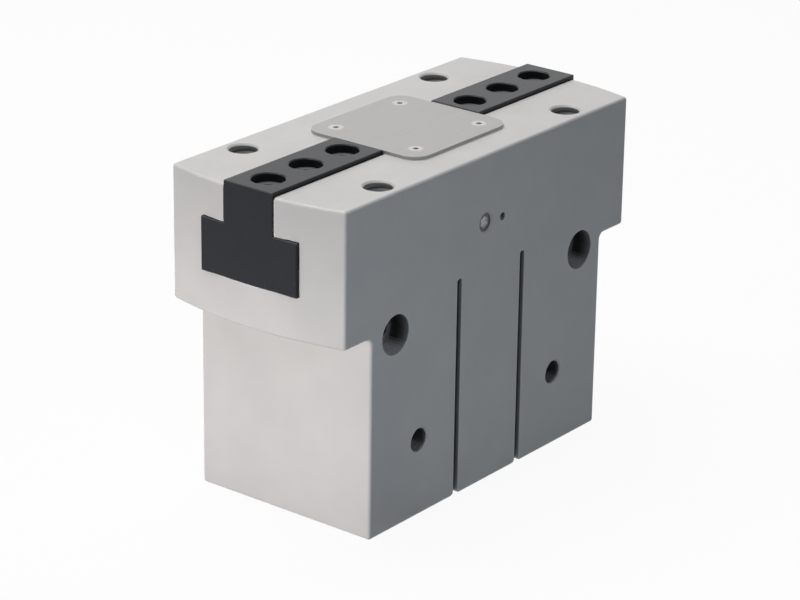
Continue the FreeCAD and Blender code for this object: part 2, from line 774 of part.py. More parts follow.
# Jaws
def make_jaw(label, side):
    """Base jaw: T-shaped slide, a leg with a sloping hook towards the wedge, and the finger holes."""
    body = new_body(label)

    def slab(name, corners, width):
        sketch = new_sketch(body, name, "XZ_Plane")
        draw_loop(sketch, [(x * side, z) for x, z in corners])
        pad(body, name, sketch, width, symmetric=True)

    def face(level):
        return hook_face(level) + dim("hook_gap")

    slide_width = dim("guide_width")
    slab("slide", [
        (face(guide_floor), guide_floor),
        (half_head, guide_floor),
        (half_head, guide_shoulder),
        (jaw_inner, guide_shoulder),
        (jaw_inner, hook_high),
        (face(hook_high), hook_high),
    ], slide_width)
    jaw_top = body_top + dim("jaw_rise")
    slab("stem", [
        (jaw_inner, guide_shoulder),
        (half_head, guide_shoulder),
        (half_head, jaw_top),
        (jaw_inner, jaw_top),
    ], dim("stem_width"))
    slab("leg", [
        (face(hook_low), hook_low),
        (leg_outer, hook_low),
        (leg_outer, guide_floor),
        (face(guide_floor), guide_floor),
    ], dim("wedge_thickness"))

    gap = dim("hook_gap")
    neck_end = dim("hook_neck_depth") + gap
    head_end = dim("hook_neck_depth") + dim("hook_head_depth") - gap
    for name, start, end, width in (
        ("hook_neck", -gap, neck_end, dim("hook_neck_width")),
        ("hook_head", neck_end, head_end, dim("hook_head_width")),
    ):
        slab(name, [
            (hook_face(hook_low) - end, hook_low),
            (hook_face(hook_low) - start, hook_low),
            (hook_face(hook_high) - start, hook_high),
            (hook_face(hook_high) - end, hook_high),
        ], width - 2 * gap)

    def shown(edge):
        place = middle(edge)
        return close(place.z, jaw_top) or close(abs(place.x), half_head)

    dress(body, "Chamfer", "edges", dim("jaw_chamfer"), shown)
    places = []
    for step in range(3):
        places.append(((half_head - dim("finger_edge") - dim("finger_pitch") * step) * side, ZERO))
    fingers = circles(body, "finger_holes", "XY_Plane", jaw_top, places, dim("finger_thread_core"))
    drill(body, "finger_holes", fingers, dim("finger_thread_core"), dim("finger_thread_depth"),
          seat=(dim("finger_seat_diameter"), dim("finger_seat_depth")))

    def seat_rim(edge):
        return edge.Curve.TypeId == "Part::GeomCircle" and close(edge.Curve.Center.z, jaw_top)

    dress(body, "Chamfer", "seat_rims", dim("finger_seat_chamfer"), seat_rim)
    return body


# Wedge hook with its rod
def make_wedge_hook():
    body = new_body("wedge_hook")
    block = new_sketch(body, "block", "XZ_Plane")
    draw_loop(block, [
        (-wedge_half_foot, wedge_low),
        (wedge_half_foot, wedge_low),
        (wedge_half_top, wedge_high),
        (-wedge_half_top, wedge_high),
    ])
    pad(body, "block", block, dim("wedge_thickness"), symmetric=True)

    low = wedge_low - dim("cut_margin")
    high = wedge_high + dim("cut_margin")
    neck_end = dim("hook_neck_depth")
    head_end = dim("hook_neck_depth") + dim("hook_head_depth")
    for side, name in ((-1, "left"), (1, "right")):
        for part, start, end, width in (
            ("neck", -dim("cut_margin"), neck_end, dim("hook_neck_width")),
            ("head", neck_end, head_end, dim("hook_head_width")),
        ):
            slot = new_sketch(body, f"{name}_{part}", "XZ_Plane")
            draw_loop(slot, [
                ((hook_face(low) - end) * side, low),
                ((hook_face(low) - start) * side, low),
                ((hook_face(high) - start) * side, high),
                ((hook_face(high) - end) * side, high),
            ])
            pocket(body, f"{name}_{part}", slot, width, symmetric=True)

    rod = circles(body, "rod", "XY_Plane", wedge_low, [(ZERO, ZERO)], dim("rod_diameter"))
    pad(body, "rod", rod, wedge_low - piston_high, reverse=True)
    spigot = circles(body, "spigot", "XY_Plane", piston_high, [(ZERO, ZERO)], dim("rod_spigot_diameter"))
    pad(body, "spigot", spigot, piston_high - washer_high(), reverse=True)
    thread = circles(body, "thread", "XY_Plane", washer_high(), [(ZERO, ZERO)], dim("rod_screw_diameter"))
    drill(body, "thread", thread, dim("rod_screw_diameter"), dim("rod_screw_length"), reverse=True)
    return body


# Piston with everything that rides on it
def washer_high():
    return piston_low + dim("rod_screw_head_height") + dim("washer_thickness") + dim("piston_end_gap")


def seal_levels():
    """Foot levels of the lower lip seal, the guide band and the upper lip seal."""
    centre = (piston_low + piston_high) / 2
    lower = piston_low + dim("lip_seal_edge")
    upper = piston_high - dim("lip_seal_edge") - dim("lip_seal_height")
    return lower, centre - dim("guide_band_height") / 2, upper


def make_piston():
    body = new_body("piston")
    radius = bore_radius - dim("piston_gap")
    plan = new_sketch(body, "plan", "XY_Plane", piston_low)
    draw_oval(plan, dim("bore_straight"), radius)
    pad(body, "block", plan, dim("piston_thickness"))
    dress(body, "Chamfer", "edges", dim("piston_chamfer"),
          lambda edge: not is_upright(edge))
    lower, band, upper = seal_levels()
    for name, level, height, depth in (
        ("lower_groove", lower, dim("lip_seal_height"), dim("lip_seal_depth")),
        ("band_groove", band, dim("guide_band_height"), dim("guide_band_depth")),
        ("upper_groove", upper, dim("lip_seal_height"), dim("lip_seal_depth")),
    ):
        oval_ring(body, "Pocket", name, level, height, radius - depth, radius + dim("cut_margin"),
                  reverse=True)

    bore = circles(body, "rod_bore", "XY_Plane", piston_low, [(ZERO, ZERO)], dim("rod_spigot_diameter"))
    pocket(body, "rod_bore", bore, dim("piston_thickness"), reverse=True)
    recess = circles(body, "screw_recess", "XY_Plane", piston_low, [(ZERO, ZERO)], dim("washer_diameter"))
    pocket(body, "screw_recess", recess, washer_high() - piston_low, reverse=True)
    groove = circles(body, "seal_recess", "XY_Plane", piston_high, [(ZERO, ZERO)],
                     dim("rod_spigot_diameter") + 2 * dim("spigot_seal_width"))
    pocket(body, "seal_recess", groove, dim("spigot_seal_height"))
    magnets = circles(body, "magnet_pockets", "XY_Plane", piston_high,
                      pair_places(dim("magnet_spacing"), -magnet_setback), dim("magnet_diameter"))
    pocket(body, "magnet_pockets", magnets, dim("magnet_length"))
    return body


def make_lip_seal(label, level, notch_up):
    """Oval lip seal with a notch on its pressure side."""
    body = new_body(label)
    outer = bore_radius - dim("seal_gap")
    inner = bore_radius - dim("piston_gap") - dim("lip_seal_depth")
    height = dim("lip_seal_height")
    oval_ring(body, "Pad", "ring", level, height, inner, outer)
    centre = (inner + outer) / 2
    notch = dim("lip_seal_notch")
    start = level + height if notch_up else level
    oval_ring(body, "Pocket", "notch", start, notch, centre - notch / 2, centre + notch / 2,
              reverse=not notch_up)
    return body


def make_guide_band():
    body = new_body("piston_guide_band")
    outer = bore_radius - dim("seal_gap")
    inner = bore_radius - dim("piston_gap") - dim("guide_band_depth")
    oval_ring(body, "Pad", "ring", seal_levels()[1], dim("guide_band_height"), inner, outer)
    return body


def make_piston_magnets():
    body = new_body("piston_magnet")
    place = (dim("magnet_spacing") / 2, -magnet_setback)
    disc = circles(body, "disc", "XY_Plane", piston_high, [place], dim("magnet_diameter"))
    pad(body, "disc", disc, dim("magnet_length"), reverse=True)
    return mirrored_group("piston_magnets", body, [FreeCAD.Vector(1, 0, 0)])


def make_piston_washer():
    body = new_body("piston_washer")
    low = washer_high() - dim("washer_thickness")
    profile = new_sketch(body, "profile", "XZ_Plane")
    draw_rectangle(profile, dim("rod_screw_diameter") / 2, dim("washer_diameter") / 2, low, washer_high())
    revolve(body, "turning", profile)
    return body


def make_piston_screw():
    body = new_body("piston_screw")
    head_high = washer_high() - dim("washer_thickness")
    head_low = head_high - dim("rod_screw_head_height")
    shank = dim("rod_screw_diameter") / 2
    tip = head_high + dim("rod_screw_length")
    profile = new_sketch(body, "profile", "XZ_Plane")
    draw_loop(profile, [
        (ZERO, head_low),
        (dim("rod_screw_head") / 2, head_low),
        (dim("rod_screw_head") / 2, head_high),
        (shank, head_high),
        (shank, tip),
        (ZERO, tip),
    ])
    revolve(body, "turning", profile)
    socket = new_sketch(body, "socket", "XY_Plane", head_low)
    draw_hexagon(socket, ZERO, ZERO, dim("rod_screw_hex"))
    pocket(body, "socket", socket, dim("rod_screw_socket"), reverse=True)
    return body


def make_ring(label, inner, outer, low, height):
    """Plain turned ring round the rod's axis."""
    body = new_body(label)
    profile = new_sketch(body, "profile", "XZ_Plane")
    draw_rectangle(profile, inner, outer, low, low + height)
    revolve(body, "turning", profile)
    return body


def make_piston_rod_seal():
    inner = dim("rod_spigot_diameter") / 2
    outer = inner + dim("spigot_seal_width")
    height = dim("spigot_seal_height")
    return make_ring("piston_rod_seal", inner, outer, piston_high - height, height)


# Guide disc above the piston, with the rod's bush and seal
rod_radius = dim("rod_diameter") / 2
bush_inner = rod_radius + dim("rod_running_gap")
bush_outer = bush_inner + dim("bush_wall")
bush_low = disc_high - dim("bush_length")
seal_outer = rod_radius + dim("rod_seal_width")
seal_low = bush_low - dim("rod_seal_height")
circlip_low = seal_low - dim("circlip_thickness")


def make_guide_disc():
    body = new_body("guide_disc")
    radius = bore_radius - dim("disc_gap")
    plan = new_sketch(body, "plan", "XY_Plane", chamber_high)
    draw_oval(plan, dim("bore_straight"), radius)
    pad(body, "plate", plan, dim("disc_thickness"))
    groove_low = chamber_high + (dim("disc_thickness") - dim("ring_seal_height")) / 2
    oval_ring(body, "Pocket", "seal_groove", groove_low, dim("ring_seal_height"),
              bore_radius - dim("ring_seal_depth"), bore_radius + dim("cut_margin"), reverse=True)
    for name, height, outline in (
        ("bush_bore", dim("disc_thickness"), bush_outer),
        ("seal_bore", bush_low - chamber_high, seal_outer),
    ):
        sketch = circles(body, name, "XY_Plane", chamber_high, [(ZERO, ZERO)], 2 * outline)
        pocket(body, name, sketch, height, reverse=True)
    groove = circles(body, "circlip_groove", "XY_Plane", circlip_low, [(ZERO, ZERO)],
                     2 * (seal_outer + dim("circlip_groove")))
    pocket(body, "circlip_groove", groove, dim("circlip_thickness"), reverse=True)
    core = dim("disc_screw_diameter")
    screws = circles(body, "screw_holes", "XY_Plane", chamber_high, disc_screw_places(), core)
    drill(body, "screw_holes", screws, core, dim("disc_thickness") + dim("cut_margin"),
          rim=dim("disc_screw_head"), reverse=True)
    return body


def make_oval_seal(label, low, height, depth):
    body = new_body(label)
    oval_ring(body, "Pad", "ring", low, height, bore_radius - depth, bore_radius)
    return body


def make_guide_disc_seal():
    low = chamber_high + (dim("disc_thickness") - dim("ring_seal_height")) / 2
    return make_oval_seal("guide_disc_seal", low, dim("ring_seal_height"), dim("ring_seal_depth"))


def make_guide_disc_screws():
    screw = make_countersunk_screw(
        "guide_disc_screw", (ZERO, disc_screw_setback), chamber_high, dim("disc_screw_diameter"),
        dim("disc_screw_head"), dim("disc_screw_length"), dim("disc_screw_hex"), upright=False)
    return mirrored_group("guide_disc_screws", screw, [FreeCAD.Vector(0, 1, 0)])


def make_rod_bush():
    return make_ring("rod_bush", bush_inner, bush_outer, bush_low, dim("bush_length"))


def make_rod_seal():
    inner = rod_radius + dim("seal_gap")
    return make_ring("rod_seal", inner, seal_outer, seal_low, dim("rod_seal_height"))


def make_rod_seal_circlip():
    body = new_body("rod_seal_circlip")
    outer = seal_outer + dim("circlip_groove")
    ring = circles(body, "ring", "XY_Plane", circlip_low, [(ZERO, ZERO)], 2 * outer)
    draw_circle(ring, ZERO, ZERO, 2 * (outer - dim("circlip_width")))
    pad(body, "ring", ring, dim("circlip_thickness"))
    half = dim("circlip_opening") / 2
    gap = new_sketch(body, "opening", "XY_Plane", circlip_low)
    draw_rectangle(gap, -half, half, ZERO, outer + dim("cut_margin"))
    pocket(body, "opening", gap, dim("circlip_thickness"), reverse=True)
    return body


# Base cover with its seal and snap ring
def make_base_cover():
    body = new_body("base_cover")
    radius = bore_radius - dim("disc_gap")
    plan = new_sketch(body, "plan", "XY_Plane", cover_low)
    draw_oval(plan, dim("bore_straight"), radius)
    pad(body, "plate", plan, dim("cover_thickness"))
    oval_ring(body, "Pocket", "seal_groove", base_seal_low(), dim("ring_seal_height"),
              bore_radius - dim("ring_seal_depth"), bore_radius + dim("cut_margin"), reverse=True)
    pullers = circles(body, "puller_threads", "XY_Plane", cover_low,
                      pair_places(dim("puller_spacing"), ZERO), dim("puller_thread_core"))
    drill(body, "puller_threads", pullers, dim("puller_thread_core"), dim("puller_thread_depth"),
          reverse=True)
    return body


def base_seal_low():
    return cover_low + (dim("cover_thickness") - dim("ring_seal_height")) / 2


def make_base_cover_seal():
    return make_oval_seal("base_cover_seal", base_seal_low(), dim("ring_seal_height"), dim("ring_seal_depth"))


def make_base_cover_ring():
    """Oval snap ring, open at the back, with an eye for the pliers at each end."""
    body = new_body("base_cover_ring")
    outer = bore_radius + dim("ring_groove") - dim("ring_groove_gap")
    inner = outer - dim("ring_width")
    oval_ring(body, "Pad", "ring", ring_low, dim("ring_thickness"), inner, outer)
    eye_place = dim("ring_opening") / 2 + dim("ring_eye") / 2
    eye_level = outer - dim("ring_width") / 2 - dim("ring_eye") / 2
    eyes = circles(body, "eyes", "XY_Plane", ring_low, pair_places(2 * eye_place, eye_level), dim("ring_eye"))
    pad(body, "eyes", eyes, dim("ring_thickness"))
    half = dim("ring_opening") / 2
    gap = new_sketch(body, "opening", "XY_Plane", ring_low)
    draw_rectangle(gap, -half, half, ZERO, outer + dim("cut_margin"))
    pocket(body, "opening", gap, dim("ring_thickness"), reverse=True)
    holes = circles(body, "eye_holes", "XY_Plane", ring_low, pair_places(2 * eye_place, eye_level),
                    dim("ring_eye_hole"))
    pocket(body, "eye_holes", holes, dim("ring_thickness"), reverse=True)
    return body


lower_seal_level, _, upper_seal_level = seal_levels()
pieces = [
    make_housing(),
    make_cover_plate(),
    make_cover_plate_screws(),
    make_sealing_air_plug(),
    make_base_port_plugs(),
    make_jaw("jaw_left", -1),
    make_jaw("jaw_right", 1),
    make_wedge_hook(),
    make_piston(),
    make_lip_seal("piston_seal_lower", lower_seal_level, notch_up=False),
    make_lip_seal("piston_seal_upper", upper_seal_level, notch_up=True),
    make_guide_band(),
    make_piston_magnets(),
    make_piston_washer(),
    make_piston_screw(),
    make_piston_rod_seal(),
    make_guide_disc(),
    make_guide_disc_seal(),
    make_guide_disc_screws(),
    make_rod_bush(),
    make_rod_seal(),
    make_rod_seal_circlip(),
    make_base_cover(),
    make_base_cover_seal(),
    make_base_cover_ring(),
]
doc.recompute()

# Check every object, then write each piece
for item in doc.Objects:
    if "Invalid" in item.State or "Error" in item.State:
        raise RuntimeError(f"{item.Label} did not build: {item.State}")
for piece in pieces:
    if piece.Shape.isNull() or not piece.Shape.isValid():
        raise RuntimeError(f"{piece.Label} has no sound shape")

os.makedirs("parts", exist_ok=True)
for piece in pieces:
    piece.Shape.exportStep(f"parts/{piece.Label}.step")
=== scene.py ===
import json
import math
from collections import namedtuple

import bmesh
import bpy
from mathutils import Matrix, Vector


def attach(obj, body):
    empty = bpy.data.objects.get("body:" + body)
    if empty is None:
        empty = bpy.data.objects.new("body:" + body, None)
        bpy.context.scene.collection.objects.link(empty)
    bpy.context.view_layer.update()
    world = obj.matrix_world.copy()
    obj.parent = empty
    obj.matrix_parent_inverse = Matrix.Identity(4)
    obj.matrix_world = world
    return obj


# Looks of the parallel gripper: finishes, screw threads, floor, light and camera
# Lengths are in metres, in the frame of the solids

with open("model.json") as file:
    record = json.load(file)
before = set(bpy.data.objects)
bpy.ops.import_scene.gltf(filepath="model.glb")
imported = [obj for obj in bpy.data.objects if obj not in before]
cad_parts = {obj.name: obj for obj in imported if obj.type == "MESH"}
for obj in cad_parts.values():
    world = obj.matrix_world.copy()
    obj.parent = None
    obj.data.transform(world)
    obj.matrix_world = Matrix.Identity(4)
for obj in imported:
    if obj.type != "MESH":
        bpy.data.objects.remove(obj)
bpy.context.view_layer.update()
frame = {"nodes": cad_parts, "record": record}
record = frame["record"]
MM = 0.001

# Camera, at the photograph's viewing angle
CAMERA_PLACE = Vector((-845.0, -657.8, 484.0)) * MM
CAMERA_AZIMUTH = math.radians(-52.003)
CAMERA_ELEVATION = math.radians(21.573)
CAMERA_ROLL = math.radians(0.833)
FOCAL_PIXELS = 3129.8
IMAGE_WIDTH = 800
SENSOR_WIDTH = 36.0

# Lamps, in the order in which they are added
LAMPS = {
    "side": {
        "place": Vector((-0.63, 0.12, 0.05)),
        "aim": Vector((-0.07, -0.015, 0.045)),
        "size": (0.30, 0.05),
        "spread": math.radians(36),
        "watts": 0.170,
        "colour": (1.0, 0.94, 0.905),
        "mirrored": False,
    },
    "front": {
        "place": Vector((-0.32, -0.55, 0.40)),
        "aim": Vector((-0.085, -0.04, 0.05)),
        "size": (0.12, 0.12),
        "spread": math.radians(40),
        "watts": 0.034,
        "colour": (0.85, 0.93, 1.0),
        "mirrored": False,
    },
    "top": {
        "place": Vector((0.0, 0.30, 1.0)),
        "aim": Vector((0.0, 0.0, 0.06)),
        "size": (1.1, 0.8),
        "spread": math.radians(180),
        "watts": 9.2,
        "colour": (1.0, 0.965, 0.94),
        "mirrored": True,
    },
}

# World and floor
WHITE = (1, 1, 1, 1)
FILL_COLOUR = (0.68, 0.86, 1.0, 1)
FILL_STRENGTH = 0.095
FLOOR_HALF = 4.0
FLOOR_PALE = (0.95, 0.95, 0.95, 1)
FLOOR_BOUNCE = (0.25, 0.285, 0.33, 1)
FLOOR_WHITE_SHARE = 0.93

# Threads, by how the names of the tapped mounts start, with the body and slot of the piece and a finish
Thread = namedtuple("Thread", "pitch length body slot look")
THREADS = {
    "top_threads": Thread(1.75 * MM, 20.0 * MM, "frame", "anodised_aluminium", "top_thread"),
    "base_threads": Thread(1.75 * MM, 19.0 * MM, "frame", "anodised_aluminium", "deep_thread"),
    "air_port": Thread(0.907 * MM, 10.6 * MM, "frame", "anodised_aluminium", "deep_thread"),
    "jaw_left": Thread(1.25 * MM, 17.5 * MM, "jaw_left", "black_steel", "black_steel"),
    "jaw_right": Thread(1.25 * MM, 17.5 * MM, "jaw_right", "black_steel", "black_steel"),
}

# Ridge of a thread: height and foot as shares of the pitch, and the turns in which it rises and fades
RIDGE_STEPS = 32
RIDGE_HEIGHT = 0.42
RIDGE_FOOT = 0.84
RIDGE_RUNOUT = 0.75
RIDGE_SINK = 0.05 * MM
PORT_THREAD_START = 0.3 * MM

# Finishes that differ from the record's slot, rays for each mask, and the height of the finger seats' floors
OWN_LOOKS = {"sealing_air_plug": "plug_painted_shade_and_glint"}
MASK_RAYS = 8
SEAT_FLOOR = next(mount["pos_m"][2] for mount in record["mounts"] if mount["name"] == "jaw_left_outer_pair")


class Finish:
    """A node material with short calls that add and link its nodes."""

    def __init__(self, name, metallic, specular=0.5):
        self.material = bpy.data.materials.new(name)
        self.material.use_nodes = True
        self.tree = self.material.node_tree
        self.shader = self.tree.nodes["Principled BSDF"]
        self.shader.inputs["Metallic"].default_value = metallic
        self.shader.inputs["Specular IOR Level"].default_value = specular
        self.place = self.node("ShaderNodeTexCoord").outputs["Object"]

    def node(self, kind, inputs=None, **settings):
        """Add a node, and link or set its inputs."""
        made = self.tree.nodes.new(kind)
        for name, value in settings.items():
            setattr(made, name, value)
        for name, value in (inputs or {}).items():
            self.feed(made.inputs[name], value)
        return made

    def feed(self, socket, value):
        if isinstance(value, bpy.types.NodeSocket):
            self.tree.links.new(value, socket)
        else:
            socket.default_value = value

    def link(self, output, name):
        self.tree.links.new(output, self.shader.inputs[name])

    def stretched(self, scale):
        return self.node("ShaderNodeMapping", {"Vector": self.place, "Scale": scale}).outputs["Vector"]

    def noise(self, scale, detail=3.0, place=None):
        inputs = {"Vector": place or self.place, "Scale": scale, "Detail": detail}
        return self.node("ShaderNodeTexNoise", inputs).outputs["Fac"]

    def spread(self, value, low, high, start=0.3, end=0.7):
        """A value that goes from low to high as another goes from start to end."""
        inputs = {"Value": value, "From Min": start, "From Max": end, "To Min": low, "To Max": high}
        return self.node("ShaderNodeMapRange", inputs).outputs["Result"]

    def times(self, first, second):
        return self.node("ShaderNodeMath", {0: first, 1: second}, operation="MULTIPLY").outputs["Value"]

    def rest_of(self, mask):
        """A mask that is 1 where another is 0."""
        return self.spread(mask, 1, 0, start=0, end=1)

    def blend(self, share, first, second):
        """Two colours, mixed by a share of the second."""
        made = self.node("ShaderNodeMix", {"Factor": share}, data_type="RGBA")
        for name, value in (("A", first), ("B", second)):
            socket = next(item for item in made.inputs if item.name == name and item.type == "RGBA")
            self.feed(socket, (*value, 1) if isinstance(value, tuple) else value)
        return next(item for item in made.outputs if item.type == "RGBA")

    def tones(self, texture, dark, pale, start=0.3, end=0.7):
        """A colour that follows a texture."""
        return self.blend(self.spread(texture, 0, 1, start, end), dark, pale)

    def edges(self, reach, sharp=0.5, flat=0.85):
        """A mask that is 1 on sharp outer edges, from how soon a ray inside the solid leaves it."""
        settings = {"inside": True, "only_local": True, "samples": MASK_RAYS}
        inside = self.node("ShaderNodeAmbientOcclusion", {"Distance": reach}, **settings)
        return self.spread(inside.outputs["AO"], 1, 0, sharp, flat)

    def hollows(self, reach, deep=0.28, shallow=0.57, alone=True):
        """A mask that is 1 deep in holes and 0 on open faces, from how much of the sky a point sees."""
        settings = {"only_local": alone, "samples": MASK_RAYS}
        around = self.node("ShaderNodeAmbientOcclusion", {"Distance": reach}, **settings)
        return self.spread(around.outputs["AO"], 1, 0, deep, shallow)

    def facing_up(self, wall, floor, start, end):
        """A value that goes from one on upright walls to another as a face turns upwards."""
        normal = self.node("ShaderNodeNewGeometry").outputs["True Normal"]
        upwards = self.node("ShaderNodeSeparateXYZ", {"Vector": normal}).outputs["Z"]
        return self.spread(upwards, wall, floor, start, end)

    def floors(self, level, reach):
        """A mask that is 1 on level faces at a height above the foot."""
        height = self.node("ShaderNodeSeparateXYZ", {"Vector": self.place}).outputs["Z"]
        near = self.node("ShaderNodeMath", {0: height, 1: level, 2: reach}, operation="COMPARE")
        return self.times(near.outputs["Value"], self.facing_up(0, 1, start=0.5, end=0.6))

    def bump(self, height, strength, distance, round_off=None):
        """Relief of a surface, on edges that are rounded off by a radius where one is given."""
        inputs = {"Height": height, "Strength": strength, "Distance": distance}
        if round_off:
            rounded = self.node("ShaderNodeBevel", {"Radius": round_off}, samples=MASK_RAYS)
            inputs["Normal"] = rounded.outputs["Normal"]
        self.link(self.node("ShaderNodeBump", inputs).outputs["Normal"], "Normal")

    def skin(self, texture, colour, roughness, strength, depth):
        """Link a colour, and the roughness and relief that follow one texture."""
        self.link(colour, "Base Color")
        self.link(self.spread(texture, *roughness), "Roughness")
        self.bump(texture, strength, depth)
        return self.material


def anodised_aluminium():
    """Bead-blasted block: fine even grain, faint clouding, edges lighter partly as burnish and partly as a
    painted highlight, and a painted shade deep in the bores and slots.
    """
    satin = 0.04
    # Colours of the painted shade deep in the bores and in the slots
    bore_painted_shade = (0.045, 0.046, 0.049)
    slot_painted_shade = (0.30, 0.31, 0.325)
    finish = Finish("anodised_aluminium", metallic=satin)
    grain = finish.noise(2600, 2)
    body = finish.tones(finish.noise(45, 2), (0.555, 0.552, 0.548), (0.60, 0.592, 0.582))
    body = finish.blend(finish.spread(grain, 0, 0.16), body, (0.70, 0.695, 0.685))
    # Lighter on sharp edges: partly burnish, partly a painted highlight
    body = finish.blend(finish.edges(0.9 * MM), body, (0.74, 0.735, 0.725))

    # Painted shade deep in the bores and slots, as a dark colour and as black metal in the bores, left off
    # walls that look up, where light from above falls
    deep = finish.times(finish.hollows(25 * MM), finish.facing_up(1, 0, start=0.55, end=0.9))
    narrow = finish.hollows(6 * MM, deep=0.4, shallow=0.62)
    tiny_holes = finish.hollows(2 * MM, deep=0.6, shallow=0.9)
    slots = finish.times(narrow, finish.rest_of(tiny_holes))
    bores = finish.times(deep, finish.rest_of(slots))
    finish.link(finish.blend(deep, body, finish.blend(slots, bore_painted_shade, slot_painted_shade)), "Base Color")
    finish.link(finish.spread(bores, satin, 1, start=0, end=1), "Metallic")
    finish.link(finish.spread(finish.noise(300, 4), 0.40, 0.52), "Roughness")
    finish.bump(grain, 0.12, 0.03 * MM, round_off=0.5 * MM)
    return finish.material


def shaded_thread(name, shade_tone, painted_light):
    """Threads cut in the block, painted dark for the shade of their holes, with a painted light on faces
    that look up.
    """
    finish = Finish(name, metallic=0.0, specular=0.05)
    cut = finish.noise(900, 3)
    body = finish.tones(cut, (shade_tone, shade_tone, shade_tone), (shade_tone * 1.3, shade_tone * 1.3, shade_tone * 1.27))
    # Dark tone is a painted shade; faces that look up get a painted light
    colour = finish.blend(finish.facing_up(0, 1, start=0.3, end=0.5), body, (painted_light, painted_light, painted_light))
    return finish.skin(cut, colour, roughness=(0.5, 0.65), strength=0.1, depth=0.01 * MM)


def top_thread():
    return shaded_thread("top_thread", shade_tone=0.22, painted_light=0.25)


def deep_thread():
    return shaded_thread("deep_thread", shade_tone=0.045, painted_light=0.20)


def machined_aluminium():
    """Turned and milled inner pieces, with fine parallel cutter marks."""
    finish = Finish("machined_aluminium", metallic=0.8)
    marks = finish.noise(60, 3, finish.stretched((1, 60, 60)))
    colour = finish.tones(marks, (0.60, 0.60, 0.60), (0.74, 0.74, 0.735))
    return finish.skin(marks, colour, roughness=(0.24, 0.40), strength=0.15, depth=0.02 * MM)


def black_steel():
    """Hardened and blackened jaws: slightly clouded, worn on the edges, bare in the finger seats, with a
    painted shade, as black metal, on their sides next to the block.
    """
    finish = Finish("black_steel", metallic=0.0, specular=0.19)
    speck = finish.noise(1800, 3)
    body = finish.tones(finish.noise(90, 4), (0.0168, 0.0184, 0.0222), (0.0196, 0.0214, 0.0258))
    body = finish.blend(finish.spread(speck, 0, 0.5), body, (0.0205, 0.0222, 0.0265))
    body = finish.blend(finish.edges(0.6 * MM), body, (0.10, 0.10, 0.102))
    body = finish.blend(finish.floors(SEAT_FLOOR, 0.2 * MM), body, (0.20, 0.20, 0.198))
    finish.link(body, "Base Color")
    # Painted shade: black metal on the jaw's sides next to the block, where the gap is in shade
    painted_shade_beside_block = finish.hollows(4 * MM, deep=0.5, shallow=0.9, alone=False)
    finish.link(finish.times(painted_shade_beside_block, finish.facing_up(1, 0, start=0.8, end=0.9)), "Metallic")
    finish.link(finish.spread(finish.noise(420, 4), 0.24, 0.28), "Roughness")
    finish.bump(speck, 0.01, 0.01 * MM)
    return finish.material


def ground_steel():
    """Ground wedge: bright, with fine grinding lines."""
    finish = Finish("ground_steel", metallic=0.9)
    lines = finish.noise(40, 3, finish.stretched((2, 2, 90)))
    colour = finish.tones(lines, (0.36, 0.36, 0.37), (0.50, 0.50, 0.505))
    return finish.skin(lines, colour, roughness=(0.22, 0.36), strength=0.12, depth=0.01 * MM)


def plate_steel():
    """Satin cover plate, brushed along the jaws."""
    finish = Finish("plate_steel", metallic=0.2)
    brush = finish.noise(50, 4, finish.stretched((1.5, 70, 70)))
    body = finish.tones(brush, (0.36, 0.357, 0.355), (0.45, 0.446, 0.442))
    # Lighter on sharp edges: a painted highlight
    colour = finish.blend(finish.edges(0.5 * MM), body, (0.62, 0.615, 0.61))
    return finish.skin(brush, colour, roughness=(0.36, 0.50), strength=0.12, depth=0.015 * MM)


def bright_steel():
    """Small screws and plugs, turned, with a painted shade in their sockets."""
    finish = Finish("bright_steel", metallic=0.5)
    speck = finish.noise(1500, 3)
    body = finish.tones(speck, (0.49, 0.487, 0.482), (0.57, 0.566, 0.559))
    # Darker in sockets and recesses: a painted shade
    finish.link(finish.blend(finish.hollows(1.2 * MM), body, (0.38, 0.377, 0.372)), "Base Color")
    finish.link(finish.spread(finish.noise(700, 3), 0.40, 0.52), "Roughness")
    finish.bump(speck, 0.08, 0.01 * MM)
    return finish.material


def plug_painted_shade_and_glint():
    """Plug screw, painted dark for the shade that the block's front casts on it, with a painted glint in its
    socket.
    """
    finish = Finish("plug_painted_shade_and_glint", metallic=0.4)
    speck = finish.noise(1500, 3)
    body = finish.tones(speck, (0.05, 0.05, 0.05), (0.08, 0.08, 0.079))
    # Dark body: a painted shade; near-white socket: a painted glint
    colour = finish.blend(finish.hollows(6 * MM, deep=0.3, shallow=0.8), body, (0.95, 0.945, 0.935))
    return finish.skin(speck, colour, roughness=(0.26, 0.38), strength=0.08, depth=0.01 * MM)


def spring_steel():
    """Phosphated snap rings: dark grey with a dull, mottled skin."""
    finish = Finish("spring_steel", metallic=0.4)
    mottle = finish.noise(900, 5)
    colour = finish.tones(mottle, (0.10, 0.10, 0.105), (0.18, 0.18, 0.185))
    return finish.skin(mottle, colour, roughness=(0.42, 0.58), strength=0.2, depth=0.015 * MM)


def seal_rubber():
    """Black seals with a dull skin."""
    finish = Finish("seal_rubber", metallic=0.0, specular=0.35)
    grain = finish.noise(1400, 4)
    colour = finish.tones(grain, (0.018, 0.018, 0.019), (0.035, 0.035, 0.036))
    return finish.skin(grain, colour, roughness=(0.55, 0.72), strength=0.2, depth=0.02 * MM)


def band_plastic():
    """Brown wear band with fibres along it."""
    finish = Finish("band_plastic", metallic=0.0)
    fibre = finish.noise(80, 4, finish.stretched((4, 4, 60)))
    colour = finish.tones(fibre, (0.20, 0.13, 0.07), (0.30, 0.20, 0.12))
    return finish.skin(fibre, colour, roughness=(0.40, 0.55), strength=0.15, depth=0.02 * MM)


